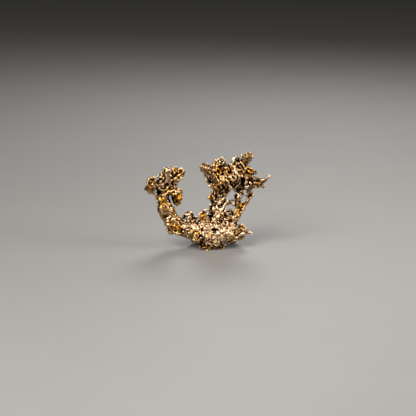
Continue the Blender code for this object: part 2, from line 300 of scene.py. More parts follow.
# The strands, folds and knobs that stand out on the front, each a line of (across, up, radius).
STRANDS = {
    "cheek": [
        [(-18.7, 20.0, 0.40), (-18.6, 21.2, 0.45), (-18.0, 22.0, 0.45), (-17.0, 22.2, 0.45),
         (-16.2, 21.9, 0.35)],
        [(-17.2, 22.0, 0.32), (-16.8, 21.3, 0.32), (-16.3, 21.0, 0.28)],
        [(-17.8, 21.0, 0.70), (-17.3, 20.7, 0.80)],
        [(-17.0, 20.6, 0.38), (-16.2, 20.1, 0.38), (-15.6, 19.3, 0.35)],
        [(-19.1, 19.0, 0.33), (-18.2, 19.1, 0.36), (-17.3, 18.8, 0.38), (-16.6, 19.1, 0.30)],
        [(-19.9, 19.5, 0.33), (-19.9, 19.1, 0.28)],
        [(-18.4, 17.8, 0.30), (-18.2, 17.5, 0.30)],
        [(-17.3, 17.3, 0.33), (-16.6, 17.0, 0.38), (-16.2, 16.2, 0.36), (-16.0, 15.3, 0.33)],
    ],
    "crown": [
        [(-15.9, 22.4, 0.38), (-15.5, 22.9, 0.41), (-14.8, 23.4, 0.43), (-14.2, 23.1, 0.45),
         (-14.1, 22.5, 0.41), (-14.7, 22.4, 0.35)],
        [(-13.9, 23.9, 0.41), (-13.6, 24.7, 0.45), (-13.4, 25.3, 0.36)],
        [(-12.9, 24.2, 0.36), (-12.7, 25.0, 0.36), (-12.4, 25.6, 0.36)],
        [(-13.1, 23.4, 0.41), (-12.8, 22.6, 0.49), (-12.8, 21.7, 0.49), (-13.1, 20.9, 0.49),
         (-13.7, 20.3, 0.45), (-14.5, 20.0, 0.41), (-15.2, 19.8, 0.38)],
        [(-13.9, 22.0, 0.32), (-14.0, 21.6, 0.29)],
        [(-12.6, 24.3, 0.30), (-12.3, 23.5, 0.35), (-11.9, 22.9, 0.41), (-11.4, 22.7, 0.32)],
        [(-11.0, 25.0, 0.41), (-10.5, 25.3, 0.45), (-9.8, 25.5, 0.36)],
        [(-10.7, 24.5, 0.45), (-10.4, 23.9, 0.49), (-10.5, 23.3, 0.36)],
        [(-9.1, 25.1, 0.30), (-9.0, 24.4, 0.35), (-9.2, 23.9, 0.30)],
        [(-8.4, 25.2, 0.36), (-7.8, 24.8, 0.36), (-7.5, 24.0, 0.36), (-7.9, 23.5, 0.30)],
        [(-8.6, 23.2, 0.41), (-9.4, 22.7, 0.41), (-10.1, 22.0, 0.41), (-10.4, 21.2, 0.41),
         (-10.5, 20.4, 0.39), (-10.3, 19.7, 0.30)],
        [(-9.7, 20.4, 0.27), (-9.6, 19.9, 0.29)],
    ],
    "neck": [
        [(-14.2, 19.5, 0.40), (-14.0, 19.2, 0.45)],
        [(-15.2, 19.0, 0.33), (-14.7, 18.4, 0.33), (-13.9, 18.1, 0.35), (-13.1, 18.3, 0.35),
         (-12.5, 19.0, 0.33), (-12.0, 19.8, 0.33), (-11.6, 20.7, 0.33), (-11.1, 21.6, 0.33)],
        [(-13.9, 16.3, 0.30), (-13.2, 16.7, 0.33), (-12.5, 17.4, 0.38), (-12.0, 18.1, 0.33)],
        [(-14.8, 17.0, 0.27), (-14.5, 16.8, 0.27)],
    ],
    "ear": [
        [(-11.6, 17.5, 0.40), (-11.0, 17.9, 0.55), (-10.3, 18.1, 0.70)],
        [(-9.7, 17.7, 0.85), (-9.1, 17.3, 0.95), (-8.8, 16.8, 0.75)],
        [(-10.7, 17.0, 0.75), (-10.2, 16.5, 0.85)],
        [(-9.0, 16.3, 0.75), (-9.7, 15.8, 0.85), (-10.0, 15.0, 0.80), (-9.8, 14.2, 0.70),
         (-9.5, 13.3, 0.35)],
        [(-10.8, 16.2, 0.65), (-10.8, 15.4, 0.65), (-10.4, 14.6, 0.60), (-10.1, 13.8, 0.50)],
        [(-9.6, 18.4, 0.30), (-8.9, 18.5, 0.36), (-8.3, 18.2, 0.36), (-8.1, 17.4, 0.33)],
        [(-8.9, 15.4, 0.38), (-9.0, 14.4, 0.30)],
        [(-8.4, 17.8, 0.30), (-8.2, 17.1, 0.33), (-8.3, 16.3, 0.28)],
    ],
    "stem": [
        [(-14.5, 14.1, 0.40), (-14.6, 13.1, 0.50), (-14.5, 12.2, 0.50), (-14.2, 11.3, 0.40)],
        [(-15.6, 14.3, 0.27), (-15.5, 13.2, 0.32), (-15.6, 12.2, 0.30), (-15.3, 11.1, 0.30)],
        [(-15.1, 15.2, 0.33), (-14.2, 14.9, 0.38), (-13.4, 15.3, 0.33), (-12.9, 16.0, 0.28)],
        [(-12.7, 14.9, 0.28), (-12.3, 14.1, 0.30), (-11.6, 13.6, 0.28)],
        [(-11.6, 12.5, 0.30), (-11.0, 12.6, 0.33), (-10.5, 12.2, 0.28)],
        [(-11.8, 11.4, 0.33), (-11.2, 11.3, 0.33), (-10.6, 10.7, 0.38), (-10.0, 10.3, 0.36)],
        [(-13.6, 10.3, 0.28), (-12.7, 10.9, 0.33), (-11.9, 10.9, 0.30)],
    ],
    "left lobe": [
        [(-1.1, 25.3, 0.75), (-0.5, 25.3, 0.70)],
        [(-2.1, 24.5, 0.28), (-2.1, 25.4, 0.30), (-1.8, 26.2, 0.30), (-1.1, 26.9, 0.30)],
        [(-1.5, 24.4, 0.24), (-1.5, 25.3, 0.27), (-1.2, 26.1, 0.27), (-0.7, 26.6, 0.24)],
        [(-0.9, 24.3, 0.24), (-0.8, 25.2, 0.28), (-0.5, 25.9, 0.25), (0.0, 26.4, 0.22)],
        [(-0.3, 24.4, 0.24), (-0.1, 25.0, 0.28), (0.5, 25.4, 0.25)],
        [(-2.0, 24.3, 0.30), (-1.3, 24.1, 0.28), (-0.6, 24.1, 0.25)],
        [(-0.4, 23.8, 0.28), (-0.3, 23.5, 0.28)],
        [(0.1, 24.3, 0.28), (0.7, 23.7, 0.30)],
        [(-1.0, 23.7, 0.25), (-1.1, 23.1, 0.20)],
    ],
    "head front": [
        [(-0.9, 23.3, 0.45), (-0.6, 22.5, 0.50), (-0.3, 21.7, 0.50), (0.1, 20.9, 0.50), (0.5, 20.4, 0.44)],
        [(0.3, 22.3, 0.38), (0.7, 21.4, 0.38), (1.0, 20.7, 0.31)],
        [(1.9, 26.8, 0.31), (1.7, 26.3, 0.41), (1.3, 25.9, 0.35)],
        [(1.4, 27.6, 0.28), (1.2, 26.9, 0.28)],
        [(2.9, 26.1, 0.35), (3.5, 26.4, 0.41), (4.2, 26.4, 0.41), (4.8, 26.7, 0.41), (5.3, 27.2, 0.44),
         (5.2, 27.9, 0.41), (4.7, 28.4, 0.41), (4.4, 28.7, 0.38)],
        [(4.0, 28.2, 0.31), (3.7, 27.6, 0.31), (3.9, 27.0, 0.41)],
        [(2.4, 28.0, 0.31), (2.9, 27.6, 0.31), (3.0, 27.0, 0.28)],
        [(2.0, 24.9, 0.38), (2.4, 24.3, 0.47), (3.0, 23.9, 0.47)],
        [(2.9, 25.2, 0.47), (3.5, 24.7, 0.53), (3.9, 24.1, 0.53), (4.2, 23.4, 0.45)],
        [(3.1, 23.3, 0.41), (3.7, 23.1, 0.38)],
        [(5.4, 25.4, 0.35), (6.1, 25.0, 0.53), (6.6, 24.6, 0.44)],
        [(5.9, 24.1, 0.45), (5.9, 23.6, 0.41)],
        [(5.1, 24.0, 0.28), (5.3, 23.3, 0.31), (5.7, 22.8, 0.31), (5.8, 22.3, 0.28)],
        [(1.8, 23.5, 0.28), (2.4, 22.9, 0.31), (2.8, 22.3, 0.31), (3.2, 21.5, 0.28), (3.6, 20.9, 0.31),
         (3.9, 20.6, 0.25)],
        [(4.0, 22.6, 0.35), (4.1, 21.9, 0.41), (4.4, 21.2, 0.41)],
        [(4.8, 22.5, 0.34), (4.9, 21.8, 0.35), (5.0, 21.0, 0.35)],
        [(4.3, 20.4, 0.41), (4.9, 20.5, 0.41), (5.3, 19.9, 0.31)],
        [(3.6, 20.3, 0.31), (4.0, 19.7, 0.31), (4.3, 19.0, 0.28)],
        [(0.6, 19.6, 0.38), (1.1, 19.2, 0.41), (1.8, 19.1, 0.38), (2.5, 19.2, 0.38), (3.1, 18.7, 0.41),
         (3.6, 18.5, 0.35)],
        [(1.8, 20.2, 0.35), (2.1, 19.8, 0.38)],
        [(7.3, 26.4, 0.41), (7.5, 25.6, 0.47), (7.8, 24.8, 0.50), (8.1, 24.2, 0.38)],
        [(8.2, 25.8, 0.38), (8.4, 25.2, 0.44), (8.6, 24.5, 0.44), (8.8, 23.8, 0.41), (9.3, 23.1, 0.35)],
        [(7.2, 27.2, 0.28), (7.6, 27.9, 0.28), (7.9, 28.4, 0.31), (8.5, 28.7, 0.41), (9.2, 28.7, 0.41),
         (9.8, 28.4, 0.35)],
        [(8.4, 28.2, 0.34), (8.3, 27.5, 0.41), (8.1, 26.8, 0.38)],
        [(9.6, 26.9, 0.41), (9.6, 26.5, 0.38)],
        [(9.3, 25.3, 0.22), (9.3, 24.9, 0.25), (9.7, 24.6, 0.28), (10.1, 24.7, 0.25)],
        [(10.1, 25.9, 0.31), (10.6, 25.2, 0.35), (11.0, 24.5, 0.38), (11.4, 23.6, 0.31)],
        [(11.2, 26.1, 0.31), (11.6, 25.4, 0.35), (11.8, 24.8, 0.35), (11.6, 24.2, 0.31)],
        [(12.1, 26.9, 0.28), (12.2, 26.0, 0.28), (12.2, 25.3, 0.25)],
        [(7.1, 22.7, 0.38), (7.2, 22.0, 0.44), (7.7, 21.4, 0.38)],
        [(8.0, 22.9, 0.38), (8.5, 22.5, 0.44), (8.7, 21.8, 0.41), (8.2, 21.3, 0.38)],
        [(9.5, 21.8, 0.35), (9.3, 21.1, 0.44), (8.8, 20.5, 0.44), (8.2, 20.1, 0.35)],
        [(9.7, 23.1, 0.28), (9.8, 22.5, 0.41)],
        [(6.6, 20.7, 0.35), (6.3, 20.1, 0.38), (6.8, 19.6, 0.41), (7.3, 19.2, 0.35)],
        [(10.1, 20.5, 0.25), (9.6, 20.0, 0.25), (9.1, 19.6, 0.28), (8.7, 19.0, 0.28)],
        [(10.7, 22.8, 0.31), (10.8, 22.6, 0.31)],
    ],
    "crest": [
        [(12.2, 28.6, 0.70), (12.9, 29.2, 0.62)],
        [(10.9, 28.3, 0.22), (10.6, 28.9, 0.22), (10.7, 29.7, 0.20)],
        [(11.5, 28.0, 0.30), (11.4, 28.8, 0.28), (11.6, 29.8, 0.27)],
        [(12.1, 28.0, 0.30), (12.2, 28.8, 0.33), (12.2, 29.6, 0.30), (12.2, 30.3, 0.24)],
        [(12.8, 28.3, 0.27), (12.8, 29.1, 0.27), (13.1, 29.7, 0.30), (13.2, 30.2, 0.25)],
        [(13.3, 28.3, 0.27), (13.5, 28.9, 0.28), (13.8, 29.5, 0.25)],
        [(13.6, 28.5, 0.24), (13.9, 28.9, 0.24), (14.1, 28.6, 0.20)],
        [(11.1, 27.6, 0.30), (11.8, 27.6, 0.33), (12.4, 27.9, 0.33), (12.8, 27.6, 0.30),
         (12.6, 27.1, 0.25)],
    ],
    "right side": [
        [(12.6, 25.6, 0.33), (13.1, 25.3, 0.33), (13.5, 24.9, 0.25)],
        [(12.7, 24.5, 0.38), (13.1, 24.0, 0.42), (13.6, 23.5, 0.33)],
        [(14.3, 24.7, 0.27), (14.8, 24.5, 0.33), (15.2, 23.9, 0.28), (15.0, 23.4, 0.22)],
        [(13.5, 22.9, 0.22), (14.0, 22.5, 0.24)],
        [(14.5, 22.5, 0.22), (15.2, 22.3, 0.22)],
        [(14.4, 21.5, 0.27), (15.0, 21.7, 0.28), (15.9, 21.7, 0.27), (16.3, 21.3, 0.27)],
        [(13.1, 20.9, 0.33), (13.6, 20.5, 0.33), (13.6, 19.8, 0.27)],
        [(12.6, 19.8, 0.25), (13.0, 19.4, 0.27)],
        [(14.7, 20.6, 0.33), (15.5, 20.4, 0.38), (16.2, 20.3, 0.33), (16.7, 20.8, 0.33),
         (17.0, 21.3, 0.30)],
        [(16.8, 21.6, 0.30), (17.5, 21.5, 0.30), (18.2, 21.8, 0.26), (18.8, 22.2, 0.24),
         (19.2, 22.6, 0.30), (19.5, 22.7, 0.28)],
        [(19.1, 22.7, 0.24), (19.0, 23.1, 0.22)],
        [(15.6, 22.3, 0.20), (16.4, 22.1, 0.24), (17.2, 22.0, 0.22)],
        [(16.3, 20.0, 0.20), (16.4, 19.3, 0.22), (16.9, 19.5, 0.30), (17.2, 19.8, 0.22)],
        [(14.5, 19.6, 0.27), (15.0, 19.3, 0.27)],
    ],
    "stalk": [
        [(0.6, 16.3, 0.46), (0.6, 15.8, 0.69), (0.8, 15.4, 0.52)],
        [(1.0, 16.8, 0.31), (1.4, 17.4, 0.38), (1.6, 17.8, 0.29)],
        [(1.5, 16.4, 0.31), (1.8, 15.8, 0.31), (1.9, 15.2, 0.29)],
        [(3.3, 18.2, 0.34), (3.2, 17.6, 0.34), (3.1, 17.0, 0.31), (3.4, 16.3, 0.29)],
        [(5.2, 17.1, 0.31), (5.7, 16.8, 0.34), (6.0, 16.6, 0.25)],
        [(5.3, 16.1, 0.31), (5.0, 15.6, 0.34), (4.6, 15.1, 0.31)],
        [(6.0, 15.0, 0.32), (6.1, 14.4, 0.34), (5.4, 13.6, 0.38), (4.8, 12.8, 0.38), (4.3, 11.9, 0.38),
         (3.9, 11.0, 0.34)],
        [(3.8, 14.9, 0.32), (3.9, 14.2, 0.38), (3.2, 13.6, 0.34)],
        [(2.8, 13.2, 0.38), (3.0, 12.4, 0.40), (3.6, 12.0, 0.38)],
        [(5.8, 12.7, 0.21), (5.5, 12.0, 0.23), (5.3, 11.2, 0.21)],
        [(7.2, 12.4, 0.25), (7.2, 11.9, 0.29)],
        [(6.3, 11.4, 0.38), (6.9, 11.7, 0.44), (7.5, 11.4, 0.44), (8.0, 10.9, 0.38)],
        [(6.1, 17.1, 0.28), (6.7, 17.3, 0.25)],
        [(5.8, 11.1, 0.31), (5.9, 10.5, 0.34), (6.5, 10.2, 0.34)],
        [(2.3, 14.4, 0.32), (2.9, 14.7, 0.34)],
    ],
    "windows": [
        [(10.3, 17.0, 0.27), (10.0, 16.5, 0.33), (9.5, 16.0, 0.50), (9.5, 15.3, 0.42), (9.3, 14.6, 0.38),
         (9.3, 13.8, 0.42), (9.3, 13.0, 0.48), (9.1, 12.3, 0.48), (8.9, 11.6, 0.48), (8.6, 10.9, 0.48)],
        [(8.7, 17.9, 0.25), (9.1, 17.3, 0.25), (9.6, 16.9, 0.25)],
        [(10.0, 17.6, 0.22), (10.8, 18.1, 0.25), (11.4, 18.4, 0.20)],
        [(8.8, 15.4, 0.20), (8.5, 14.9, 0.22), (8.4, 14.3, 0.27)],
        [(10.2, 14.1, 0.30), (10.6, 13.4, 0.38), (10.3, 12.8, 0.30)],
        [(11.0, 14.0, 0.28), (11.8, 13.9, 0.28)],
        [(14.1, 16.8, 0.28), (14.0, 16.1, 0.33), (13.2, 15.6, 0.33), (12.6, 15.0, 0.33),
         (12.2, 14.3, 0.33), (11.8, 13.5, 0.30), (11.4, 12.6, 0.27), (11.2, 11.9, 0.27),
         (10.6, 11.2, 0.27), (10.1, 10.5, 0.28)],
        [(12.2, 17.5, 0.25), (12.6, 17.8, 0.27), (13.0, 18.1, 0.22)],
        [(11.3, 17.4, 0.22), (11.3, 16.6, 0.24), (10.9, 16.0, 0.24), (10.4, 15.6, 0.22)],
        [(11.6, 18.6, 0.28), (12.3, 18.3, 0.30), (12.9, 18.7, 0.25)],
        [(12.6, 17.6, 0.24), (12.8, 16.9, 0.26), (12.4, 16.3, 0.22)],
        [(8.1, 18.6, 0.24), (8.5, 17.9, 0.25)],
        [(7.0, 15.1, 0.18), (7.6, 15.0, 0.20), (8.2, 15.0, 0.20)],
        [(12.0, 16.6, 0.22), (12.5, 16.1, 0.22), (12.9, 15.8, 0.22)],
    ],
    "root top": [
        [(-2.6, 9.6, 0.28), (-2.5, 10.5, 0.28), (-2.1, 11.3, 0.30), (-1.3, 11.7, 0.30), (-0.4, 11.8, 0.28),
         (0.5, 12.0, 0.25)],
        [(-2.2, 9.2, 0.38), (-1.4, 10.0, 0.42), (-0.6, 10.4, 0.38), (0.2, 10.9, 0.28)],
        [(-7.4, 10.2, 0.38), (-6.9, 10.8, 0.38), (-6.1, 11.2, 0.38), (-5.3, 11.1, 0.33),
         (-4.8, 10.7, 0.25), (-4.5, 10.2, 0.2)],
        [(-6.6, 10.3, 0.55), (-5.9, 10.4, 0.50)],
        [(-7.9, 9.3, 0.36), (-7.2, 9.5, 0.42)],
        [(-4.1, 9.4, 0.28), (-3.3, 9.3, 0.30)],
        [(0.8, 13.4, 0.36), (0.8, 12.6, 0.50), (0.9, 11.8, 0.60), (1.1, 11.0, 0.60)],
        [(1.8, 12.7, 0.50), (1.9, 11.7, 0.55)],
    ],
    "root": [
        [(-1.2, 4.7, 0.38), (-1.1, 5.4, 0.45), (-0.7, 5.7, 0.35)],
        [(-2.2, 3.9, 0.22), (-2.4, 4.9, 0.25), (-2.2, 6.0, 0.25), (-1.4, 6.8, 0.25), (-0.4, 6.8, 0.25),
         (0.4, 6.2, 0.2)],
        [(10.3, 6.8, 0.38), (11.0, 7.0, 0.38), (11.5, 6.4, 0.42), (11.6, 5.5, 0.42), (11.1, 4.9, 0.38)],
        [(10.4, 5.8, 0.50), (10.9, 5.6, 0.50)],
        [(11.6, 5.1, 0.33), (12.3, 4.7, 0.25), (13.1, 4.5, 0.18)],
        [(9.6, 2.3, 0.35), (10.4, 2.6, 0.50), (11.0, 2.9, 0.50), (11.7, 3.2, 0.35)],
        [(8.8, 2.9, 0.50), (9.7, 3.3, 0.60), (10.5, 3.8, 0.60), (11.2, 4.2, 0.50)],
        [(4.9, 0.5, 0.25), (5.6, 0.6, 0.28), (6.4, 0.9, 0.30), (7.1, 1.3, 0.33), (7.9, 1.8, 0.33),
         (8.8, 2.1, 0.30), (9.9, 2.3, 0.28)],
        [(0.0, 1.1, 0.27), (0.8, 0.9, 0.30), (1.7, 0.8, 0.30), (2.4, 1.4, 0.27)],
        [(-12.8, 5.8, 0.33), (-12.6, 5.2, 0.33), (-12.0, 4.7, 0.30), (-11.4, 4.4, 0.27)],
        [(-10.8, 4.9, 0.33), (-9.9, 4.4, 0.35), (-9.0, 4.2, 0.33), (-8.3, 4.2, 0.30)],
        [(-13.6, 8.9, 0.30), (-12.4, 9.2, 0.33), (-11.2, 9.6, 0.33), (-10.2, 10.0, 0.28)],
        [(-12.9, 8.2, 0.28), (-11.6, 8.3, 0.30), (-10.6, 8.9, 0.33), (-9.8, 9.3, 0.28)],
        [(-13.3, 7.6, 0.30), (-12.4, 7.1, 0.33), (-11.5, 6.8, 0.30)],
        [(-10.3, 6.6, 0.38), (-9.8, 6.0, 0.42), (-9.3, 5.4, 0.35)],
        [(-9.0, 8.9, 0.35), (-8.6, 8.3, 0.35), (-8.0, 7.7, 0.30)],
        [(8.2, 5.6, 0.28), (8.8, 6.1, 0.30), (9.3, 6.6, 0.27)],
        [(8.3, 6.3, 0.25), (8.9, 5.6, 0.25)],
        [(8.6, 9.6, 0.28), (8.7, 8.9, 0.30), (8.8, 8.2, 0.27)],
    ],
}

# The step from ball to ball, how wide and how strong a strand's beads are, how far down it follows the skin,
# how often its depths are evened out, how much fuller it is than its radius, the least share of its radius
# that it is sunk, and the most that it stands out.
BALL_STEP = 0.16
BEAD_WIDTH = 0.6
BEAD_SWELL = 0.35
DEEPEST_DIP = 1.2
EVEN_ROUNDS = 6
FULLNESS = 1.1
LEAST_SUNK = 0.42
MOST_PROUD = 0.25


def front_strand(skin, taken, stations, rng):
    """A strand of the front: balls close enough together to run into one beaded fold, sunk in the skin. It
    bridges what dips deeper than a strand does."""
    spots = []
    for start, end in zip(stations, stations[1:]):
        count = max(1, round(math.dist(start[:2], end[:2]) / BALL_STEP))
        spots += [[a + (b - a) * i / count for a, b in zip(start, end)] for i in range(count)]
    spots.append(stations[-1])
    depths = np.array([depth_at(skin, across, up) for across, up, _ in spots])
    depths = np.minimum(depths, depths.min() + DEEPEST_DIP)
    for _ in range(EVEN_ROUNDS):
        ends = np.concatenate([depths[:1], depths, depths[-1:]])
        depths = (ends[:-2] + ends[1:-1] + ends[2:]) / 3
    for (across, up, radius), depth in zip(spots, depths):
        near = Vector((across, depth, up - SLANT * depth))
        taken.add(skin.find_nearest(near)[0], radius)
        thick = radius * FULLNESS * (1 + BEAD_SWELL * noise.noise(near / BEAD_WIDTH))
        sunk = depth + max(radius * LEAST_SUNK, radius * FULLNESS - MOST_PROUD)
        yield Vector((across, sunk, up - SLANT * sunk)), (thick,) * 3, Matrix.Identity(3)


balls = []
for part in STRANDS.values():
    for stations in part:
        balls += front_strand(outer, taken, stations, rng)

# The root of each arm, where its crystals fan out from, how far across the arms part, and how far a crystal
# strays from its arm's run.
LEFT_ROOT = Vector((-11.0, -0.5, 8.0))
RIGHT_ROOT = Vector((3.6, 0.8, 10.0))
ARMS_PART = -5
STRAY = 0.8


def turned(normal, heading):
    """Three axes: along the heading, across it, and out of the skin."""
    along = (heading - normal * heading.dot(normal)).normalized()
    return along, normal.cross(along), normal


def crystal_run(point, normal, rng):
    """The way that the crystals run at a point of the skin: out along an arm, and any way in the root."""
    root = LEFT_ROOT if point.x < ARMS_PART else RIGHT_ROOT
    away = Vector((rng.gauss(0, 1), rng.gauss(0, 1), rng.gauss(0, 1))) * STRAY
    away += (point - root).normalized() * GROWTH[part_at(point)]["run"]
    return turned(normal, away)[0]


# A crystal's greatest bend and wobble at each step, its lean and its beads, how slim its ends are, how uneven
# its balls are, and how deep it sits in the skin as a share of its radius.
BEND = 0.12
WOBBLE = 0.18
LEAN = 1.0
CRYSTAL_SWELL = 0.45
END_WIDTH = 0.60
UNEVEN = (0.9, 1.1)
CRYSTAL_SUNK = 0.55
WIRE_SUNK = 0.1


def grown_strand(skin, taken, point, normal, rng, growth, sunk=CRYSTAL_SUNK):
    """A wire, or the edge of a leaf, that creeps over the skin till it is long enough or meets another."""
    thick = rng.uniform(*growth["radii"])
    length = rng.uniform(*growth["lengths"])
    heading = crystal_run(point, normal, rng)
    bend = rng.uniform(-BEND, BEND)
    lean = Matrix.Rotation(rng.uniform(-LEAN, LEAN), 3, "X")
    path = []
    while len(path) * BALL_STEP < length and (not taken or taken.is_clear(point, thick + growth["gap"])):
        axes = turned(normal, heading)
        path.append((point, axes))
        heading = axes[0] + axes[1] * (bend + rng.uniform(-WOBBLE, WOBBLE))
        point, normal, _, _ = skin.find_nearest(point + heading.normalized() * BALL_STEP)
    if len(path) * BALL_STEP < growth["lengths"][0]:
        return
    for step, (point, axes) in enumerate(path):
        swell = math.sin(math.pi * (step + 0.8) / (len(path) + 0.6))
        beads = 1 + CRYSTAL_SWELL * noise.noise(point / BEAD_WIDTH)
        width = thick * (END_WIDTH + (1 - END_WIDTH) * swell) * beads * rng.uniform(*UNEVEN)
        if taken:
            taken.add(point, thick)
        leaning = lean @ Matrix(axes)
        yield point - axes[2] * (thick * sunk), [width * side for side in growth["shape"]], leaning


def points_on(data, count, rng):
    """Points spread evenly over a mesh, each with its face's normal."""
    data.calc_loop_triangles()
    areas = np.cumsum([t.area for t in data.loop_triangles])
    for _ in range(count):
        triangle = data.loop_triangles[int(np.searchsorted(areas, rng.random() * areas[-1]))]
        a, b, c = (data.vertices[i].co for i in triangle.vertices)
        u, v = rng.random(), rng.random()
        if u + v > 1:
            u, v = 1 - u, 1 - v
        yield a + (b - a) * u + (c - a) * v, triangle.normal.copy()


# Fine wires deep between the crystals of the head and the stalk, then the crystals of the skin all round.
FINE_WIRES = {"radii": (0.13, 0.22), "lengths": (0.5, 1.8), "shape": (1, 1, 1)}
WIRE_STARTS = 2600
CRYSTAL_STARTS = 12000
SKIN_VOXEL = 0.13
core = skin_of(nugget.data)
for point, normal in points_on(nugget.data, WIRE_STARTS, rng):
    if part_at(point) in ("head", "stalk"):
        balls += grown_strand(core, None, point, normal, rng, FINE_WIRES, WIRE_SUNK)
for point, normal in points_on(outline, CRYSTAL_STARTS, rng):
    balls += grown_strand(outer, taken, point, normal, rng, GROWTH[part_at(point)])
melt_together(nugget, SKIN_VOXEL, balls)


def keep_largest(data):
    """Drops any crumb that hangs on nothing."""
    a, b = edges_of(data).T
    label = np.arange(len(data.vertices))
    while True:
        low = np.minimum(label[a], label[b])
        new = label.copy()
        np.minimum.at(new, a, low)
        np.minimum.at(new, b, low)
        new = new[new]
        if (new == label).all():
            break
        label = new
    largest = np.bincount(label).argmax()
    mesh = bmesh.new()
    mesh.from_mesh(data)
    crumbs = [vertex for vertex, own in zip(mesh.verts, label) if own != largest]
    bmesh.ops.delete(mesh, geom=crumbs, context="VERTS")
    mesh.to_mesh(data)
    mesh.free()


# How far off the skin the patches are told apart, so that the two sides of a thin leaf don't share one, the
# farthest that a point is pressed, and how much of the way to flat it goes.
SIDE_APART = 0.4
DEEPEST_PRESS = 0.15
PRESS_SHARE = 0.9


def pressed_flat(points, normals, rng):
    """Presses the skin flat in patches, like the faces of crystals. Each is what lies nearest its seed."""
    where = points + normals * SIDE_APART
    spread = [GROWTH[part_at(Vector(point))]["patch"] for point in points]
    seeds = [place for place, count in enumerate(spread) if rng.random() * count < 1]
    near = KDTree(len(seeds))
    for place, seed in enumerate(seeds):
        near.insert(where[seed], place)
    near.balance()
    patch = np.array([near.find(point)[1] for point in where])
    count = np.maximum(np.bincount(patch, minlength=len(seeds)), 1)[:, None]
    middles, facing = (
        (np.stack([np.bincount(patch, side, len(seeds)) for side in values.T], 1) / count)[patch]
        for values in (points, normals)
    )
    even = np.linalg.norm(facing, axis=1)[:, None]
    facing = facing / np.maximum(even, 0.001)
    off = np.clip(((points - middles) * facing).sum(1), -DEEPEST_PRESS, DEEPEST_PRESS)[:, None]
    return points - facing * off * PRESS_SHARE * even ** 2


# The skin is roughened by waves of three widths and heights, and pressed into crystal faces. It stands on the
# table at 0.
WAVES = ((1.3, 0.12), (0.7, 0.12), (0.33, 0.08))
NUGGET_TRIANGLES = 190000
keep_largest(nugget.data)
points, normals = read_mesh(nugget.data), read_mesh(nugget.data, "normal")
height = [sum(high * noise.noise(Vector(point) / wide) for wide, high in WAVES) for point in points]
points += normals * np.array(height)[:, None]
points = pressed_flat(points, normals, rng)
points[:, 2] = np.maximum(points[:, 2], 0.0)
nugget.data.vertices.foreach_set("co", points.astype(np.float32).ravel())
nugget.data.update()
thin = nugget.modifiers.new("Thin", "DECIMATE")
nugget.data.calc_loop_triangles()
thin.ratio = min(1.0, NUGGET_TRIANGLES / len(nugget.data.loop_triangles))
baked(nugget)


def keep_value(name, values):
    """Gives each point of the nugget a value that its finish reads."""
    stored = nugget.data.attributes.new(name, "FLOAT", "POINT")
    stored.data.foreach_set("value", values.astype(np.float32))


# How far each spot lies below what is round it, and how much of the sky over it is shut in by gold nearby:
# the finish paints shade from both.
GROOVE_STEP = 0.06
GROOVE_ROUNDS = 6
SHELTER_ROUNDS = 2
SKY_WAYS = 20
SKY_REACH = 3.0
OFF_SKIN = 0.03
LOWEST_LOOK = 0.1
points, normals = read_mesh(nugget.data), read_mesh(nugget.data, "normal")
edges = edges_of(nugget.data)
keep_value("groove", ((smoothed(points, edges, GROOVE_ROUNDS) - points) * normals).sum(1) / GROOVE_STEP)
skin = skin_of(nugget.data)
sky = []
for step in range(SKY_WAYS):
    lift = 1 - (2 * step + 1) / SKY_WAYS
    turn = math.pi * (3 - math.sqrt(5)) * step
    flat = math.sqrt(1 - lift * lift)
    sky.append(Vector((flat * math.cos(turn), flat * math.sin(turn), lift)))
in_shade = []
for point, normal in zip(points, normals):
    point, normal = Vector(point), Vector(normal)
    looks = [(way, way.dot(normal)) for way in sky if way.dot(normal) > LOWEST_LOOK]
    start = point + normal * OFF_SKIN
    met = sum(facing for way, facing in looks if skin.ray_cast(start, way, SKY_REACH)[0])
    in_shade.append([met / sum(facing for _, facing in looks)])
keep_value("shelter", smoothed(np.array(in_shade), edges, SHELTER_ROUNDS)[:, 0])
